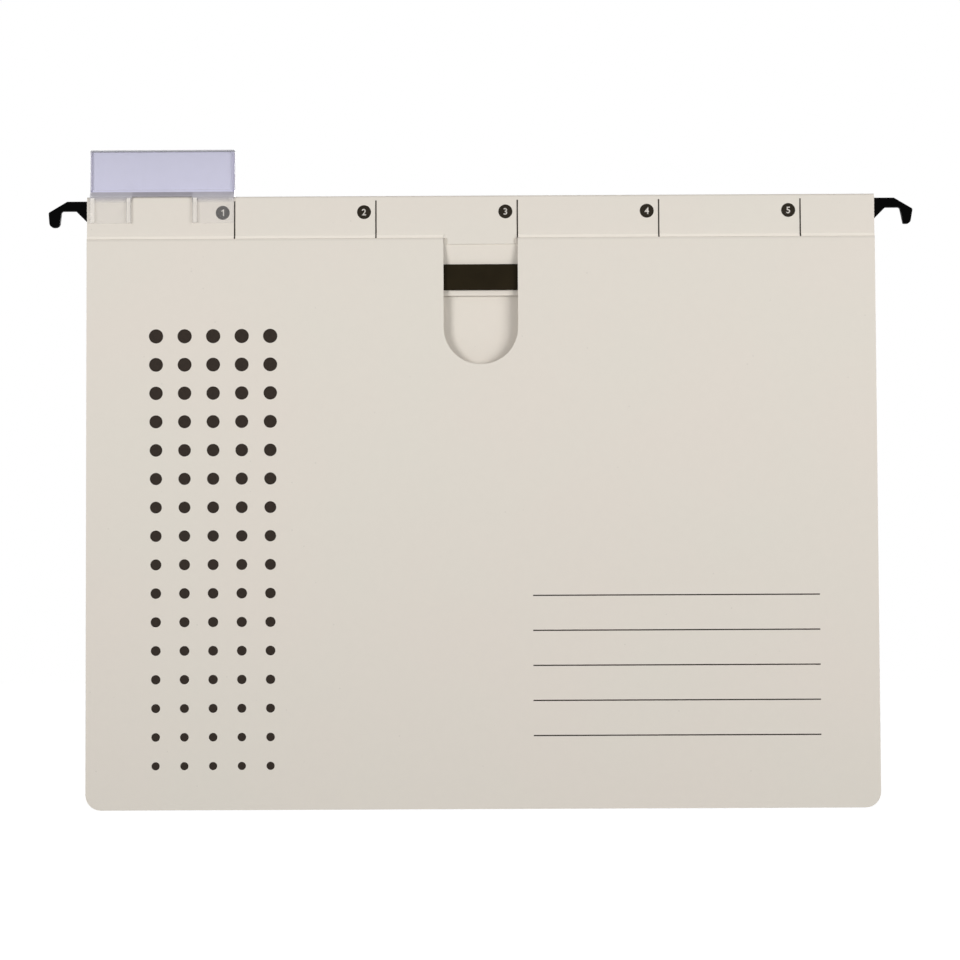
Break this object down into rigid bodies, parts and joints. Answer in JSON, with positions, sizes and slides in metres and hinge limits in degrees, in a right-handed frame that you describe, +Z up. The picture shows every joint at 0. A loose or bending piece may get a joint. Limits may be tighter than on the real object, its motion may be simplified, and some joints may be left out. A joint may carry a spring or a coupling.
{
  "type": "hanging fastener folder",
  "caption": "Off-white card hanging folder: hooked steel rail in a top sleeve, hinged covers, a prong fastener behind a finger notch and a sliding clear label tab.",
  "frame": {"origin": "midway between the two hook seats, on the line where the folder hangs on the cabinet's rails", "axes": "+X along the rail to the viewer's right, +Y to the back, +Z up; the front with the notch faces -Y"},
  "size_m": [0.3494, 0.0062, 0.2662],
  "materials": {
    "card": "matt off-white board",
    "carrier_board": "matt board",
    "hook_plastic": "black moulded",
    "bar_plastic": "black moulded, satin",
    "steel": "zinc plated",
    "clear_plastic": "clear with a faint blue tint",
    "label_paper": "pale lilac paper"
  },
  "bodies": {
    "suspension": {"rail_sleeve": "card", "suspension_rail": "steel", "hook_left": "hook_plastic", "hook_right": "hook_plastic", "fastener_carrier": "carrier_board", "fastener_base": "steel"},
    "front_cover": {"front_cover": "card"},
    "back_cover": {"back_cover": "card"},
    "tab": {"tab_holder": "clear_plastic"},
    "label": {"tab_label": "label_paper"},
    "cover_bar": {"cover_bar": "bar_plastic"},
    "slider_left": {"slider_left": "steel"},
    "slider_right": {"slider_right": "steel"},
    "prong_left": {"prong_left": "steel"},
    "prong_right": {"prong_right": "steel"}
  },
  "joints": [
    {"name": "front_cover_hinge", "type": "hinge", "parent": "suspension", "child": "front_cover", "pos_m": [0, -0.0027, -0.012], "axis": [-1, 0, 0], "range_deg": [0, 165]},
    {"name": "back_cover_hinge", "type": "hinge", "parent": "suspension", "child": "back_cover", "pos_m": [0, 0.0027, -0.012], "axis": [1, 0, 0], "range_deg": [0, 165]},
    {"name": "tab_slide", "type": "slide", "parent": "suspension", "child": "tab", "axis": [1, 0, 0], "range_m": [0, 0.228]},
    {"name": "label_slide", "type": "slide", "parent": "tab", "child": "label", "axis": [-1, 0, 0], "range_m": [0, 0.058]},
    {"name": "cover_bar_lift", "type": "slide", "parent": "suspension", "child": "cover_bar", "axis": [0, -1, 0], "range_m": [0, 0.0126]},
    {"name": "slider_left_slide", "type": "slide", "parent": "cover_bar", "child": "slider_left", "axis": [1, 0, 0], "range_m": [0, 0.021]},
    {"name": "slider_right_slide", "type": "slide", "parent": "cover_bar", "child": "slider_right", "axis": [-1, 0, 0], "range_m": [0, 0.021]},
    {"name": "prong_left_bend", "type": "hinge", "parent": "suspension", "child": "prong_left", "pos_m": [-0.04, -0.00122, -0.0276], "axis": [0, 0, -1], "range_deg": [0, 90]},
    {"name": "prong_right_bend", "type": "hinge", "parent": "suspension", "child": "prong_right", "pos_m": [0.04, -0.00122, -0.0276], "axis": [0, 0, 1], "range_deg": [0, 90]}
  ],
  "couplings": [
    {"joint": "prong_left_bend", "follows": "front_cover_hinge", "ratio": 0.5454},
    {"joint": "prong_right_bend", "follows": "front_cover_hinge", "ratio": 0.5454},
    {"joint": "cover_bar_lift", "follows": "front_cover_hinge", "m_per_rad": 0.00434}
  ]
}
